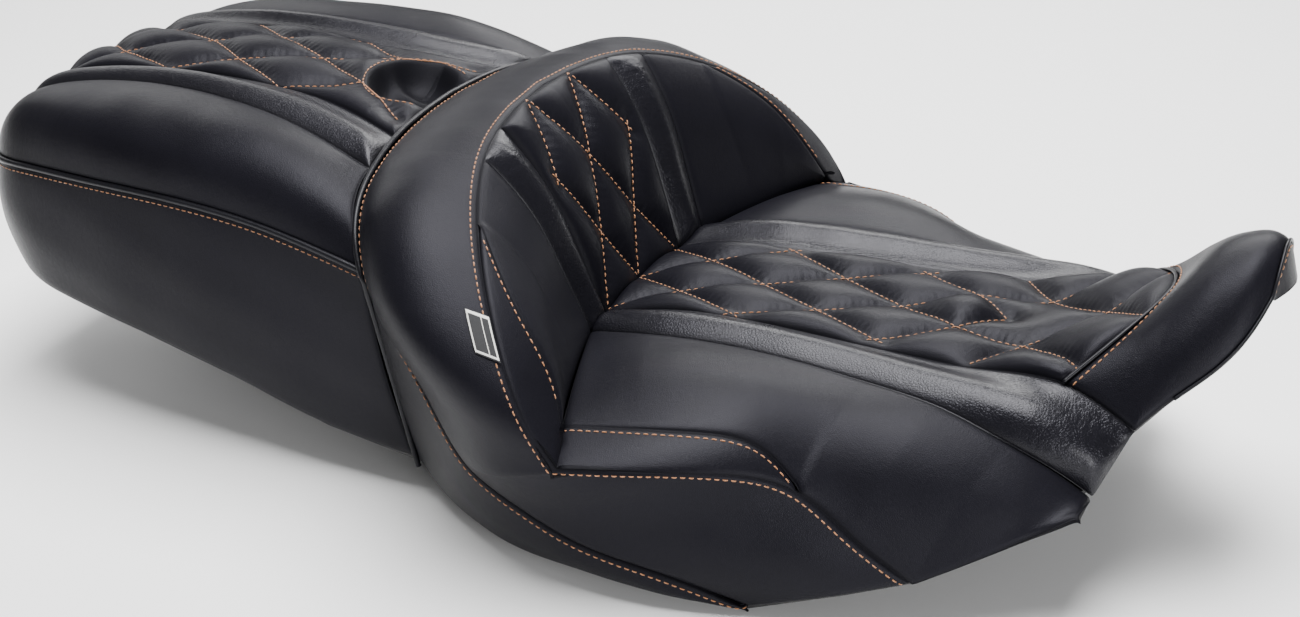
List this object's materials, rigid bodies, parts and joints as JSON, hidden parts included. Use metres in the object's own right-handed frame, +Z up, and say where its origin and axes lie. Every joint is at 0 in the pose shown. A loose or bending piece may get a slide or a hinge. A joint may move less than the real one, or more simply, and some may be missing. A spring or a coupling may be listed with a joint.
{
  "type": "motorcycle seat",
  "caption": "One-piece stepped touring seat for a rider and a passenger, with a wrap-around rider's backrest, quilted centre panels and a raised nose.",
  "frame": {"origin": "centre of the bounding box's bottom face: the seat stands on the lowest rim of its base pan", "axes": "+X towards the front of the motorcycle (the nose), +Y to the rider's left, +Z up"},
  "size_m": [0.9035, 0.512, 0.2402],
  "materials": {
    "bumper_rubber": "black moulded rubber",
    "foam": "moulded polyurethane foam, hidden under the cover",
    "gloss_vinyl": "glossier black vinyl with coarse leather grain",
    "label_cloth": "black woven cloth with a plain pale border",
    "pan_plastic": "moulded black plastic",
    "quilt_vinyl": "satin black vinyl, diamond quilted with orange thread",
    "satin_vinyl": "satin black upholstery vinyl with fine leather grain",
    "welt_vinyl": "black piping",
    "zinc_steel": "zinc-plated steel"
  },
  "bodies": {
    "root": {"backrest_quilt": "quilt_vinyl", "backrest_side_left": "satin_vinyl", "backrest_side_right": "satin_vinyl", "backrest_sliver_left": "satin_vinyl", "backrest_sliver_right": "satin_vinyl", "backrest_strip_left": "gloss_vinyl", "backrest_strip_right": "gloss_vinyl", "base_pan": "pan_plastic", "bolster_band": "satin_vinyl", "bolster_foam": "foam", "bolster_rear_welt": "welt_vinyl", "bumper_front_left": "bumper_rubber", "bumper_front_right": "bumper_rubber", "bumper_middle_left": "bumper_rubber", "bumper_middle_right": "bumper_rubber", "bumper_rear_left": "bumper_rubber", "bumper_rear_right": "bumper_rubber", "front_tongue": "zinc_steel", "front_tongue_rivet_left": "zinc_steel", "front_tongue_rivet_right": "zinc_steel", "nose_end_panel": "satin_vinyl", "nose_foam": "foam", "nose_panel": "satin_vinyl", "nose_seam_welt": "welt_vinyl", "passenger_foam": "foam", "passenger_quilt": "quilt_vinyl", "passenger_recess": "satin_vinyl", "passenger_side_band": "satin_vinyl", "passenger_side_top_left": "satin_vinyl", "passenger_side_top_right": "satin_vinyl", "passenger_strip_left": "gloss_vinyl", "passenger_strip_right": "gloss_vinyl", "passenger_welt": "welt_vinyl", "rear_tab": "zinc_steel", "rear_tab_rivet_left": "zinc_steel", "rear_tab_rivet_right": "zinc_steel", "rider_foam": "foam", "seat_quilt": "quilt_vinyl", "seat_strip_left": "gloss_vinyl", "seat_strip_right": "gloss_vinyl", "side_label": "label_cloth", "skirt_left": "satin_vinyl", "skirt_right": "satin_vinyl", "thigh_insert_left": "satin_vinyl", "thigh_insert_right": "satin_vinyl", "thigh_panel_left": "satin_vinyl", "thigh_panel_right": "satin_vinyl"}
  },
  "joints": []
}
